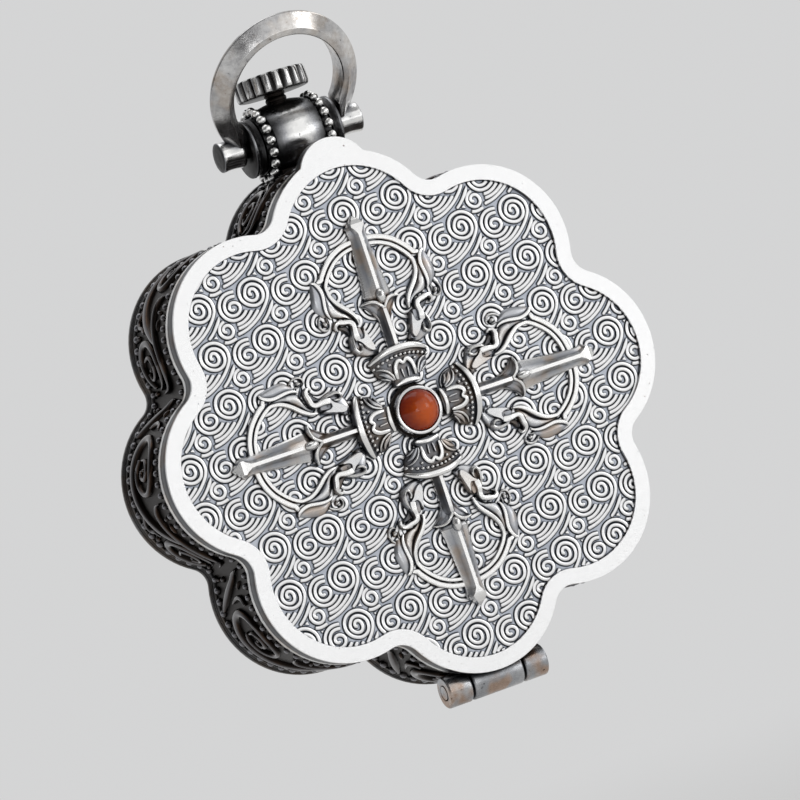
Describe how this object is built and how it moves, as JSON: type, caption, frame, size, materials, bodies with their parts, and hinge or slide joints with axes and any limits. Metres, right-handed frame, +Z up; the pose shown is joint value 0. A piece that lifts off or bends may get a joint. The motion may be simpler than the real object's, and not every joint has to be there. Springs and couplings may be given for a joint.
{
  "type": "amulet box",
  "caption": "Eight-lobed hinged amulet box with a crossed double vajra and a stone on its lid, hung from a bow on a barrel with a locking screw.",
  "frame": {"origin": "seat of a chain: inside of the bow at its top, mid-thickness", "axes": "+Z up as worn, +Y from the lid to the back, +X to the wearer's left as the lid is looked at, which is right in a front view"},
  "size_m": [0.0466, 0.0139, 0.0607],
  "materials": {
    "polished_silver": "polished silver, dark in its recesses",
    "patinated_silver": "worn silver with a grey patina",
    "dark_silver": "heavily oxidised silver",
    "steel_pin": "plain drawn wire",
    "carnelian": "polished red-orange stone"
  },
  "bodies": {
    "bow": {"bow_ring": "polished_silver", "bow_ferrules": "polished_silver", "pivot_pins": "steel_pin"},
    "box": {"barrel_drum": "patinated_silver", "barrel_beads": "polished_silver", "barrel_collars": "polished_silver", "barrel_saddle": "dark_silver", "case_wall": "dark_silver", "case_lip": "patinated_silver", "front_bead_wire": "dark_silver", "rear_bead_wire": "dark_silver", "back_flange": "patinated_silver", "back_plate": "patinated_silver", "case_knuckles": "patinated_silver", "hinge_pin": "steel_pin"},
    "lid": {"lid_frame": "polished_silver", "field_plate": "dark_silver", "lid_skirt": "patinated_silver", "lock_tongue": "patinated_silver", "lid_knuckle": "patinated_silver", "vajra_blades": "polished_silver", "leaf_cups": "polished_silver", "vajra_prongs": "polished_silver", "prong_fins": "polished_silver", "makara_heads": "polished_silver", "lotus_collars": "polished_silver", "vajra_hub": "patinated_silver", "bezel": "polished_silver", "stone": "carnelian"},
    "screw": {"lock_shank": "dark_silver"},
    "knob": {"lock_knob": "patinated_silver"}
  },
  "joints": [
    {"name": "case_swing", "type": "hinge", "parent": "bow", "child": "box", "pos_m": [0, 0.00566, -0.0084], "axis": [1, 0, 0], "range_deg": [-53, 122]},
    {"name": "lid_hinge", "type": "hinge", "parent": "box", "child": "lid", "pos_m": [0, 0.00006, -0.0577], "axis": [1, 0, 0], "range_deg": [0, 150]},
    {"name": "lock_travel", "type": "slide", "parent": "box", "child": "screw", "axis": [0, 0, 1], "range_m": [0, 0.002]},
    {"name": "knob_turn", "type": "hinge", "parent": "screw", "child": "knob", "pos_m": [0, 0.00566, -0.0045], "axis": [0, 0, 1], "range_deg": [0, 1440]}
  ],
  "couplings": [
    {"joint": "knob_turn", "follows": "lock_travel", "rad_per_m": 12566}
  ]
}
